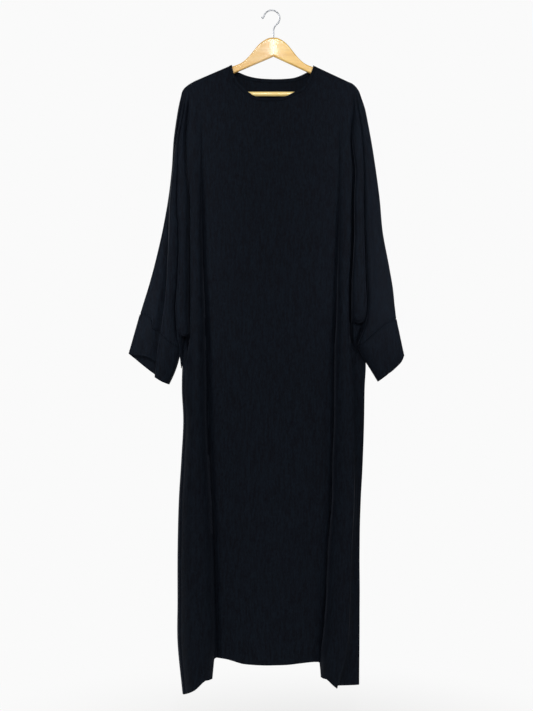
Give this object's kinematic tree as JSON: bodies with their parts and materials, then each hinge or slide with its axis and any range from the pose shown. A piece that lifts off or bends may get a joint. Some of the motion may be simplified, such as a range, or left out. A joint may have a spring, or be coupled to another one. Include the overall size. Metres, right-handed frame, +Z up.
{
  "type": "closed batwing abaya on a wooden hanger",
  "caption": "Long loose closed abaya in black crepe with wide batwing sleeves and deep plain cuffs, hung on a contoured wooden hanger with a bar and a wire hook.",
  "frame": {"origin": "inside top of the hanger's hook, where the rail carries it", "axes": "+Z up, +X to the right of a viewer who faces the front, +Y from the front towards the back"},
  "size_m": [0.6793, 0.0756, 1.6885],
  "materials": {
    "crepe": "matte black crepe",
    "wood": "clear varnish",
    "chrome": "bright plated"
  },
  "bodies": {
    "root": {"front_panel": "crepe", "back_panel": "crepe", "cuff_left": "crepe", "cuff_right": "crepe", "neck_binding": "crepe", "hanger_arm_left": "wood", "hanger_arm_right": "wood", "hanger_bar": "wood", "hanger_hook": "chrome"}
  },
  "joints": []
}
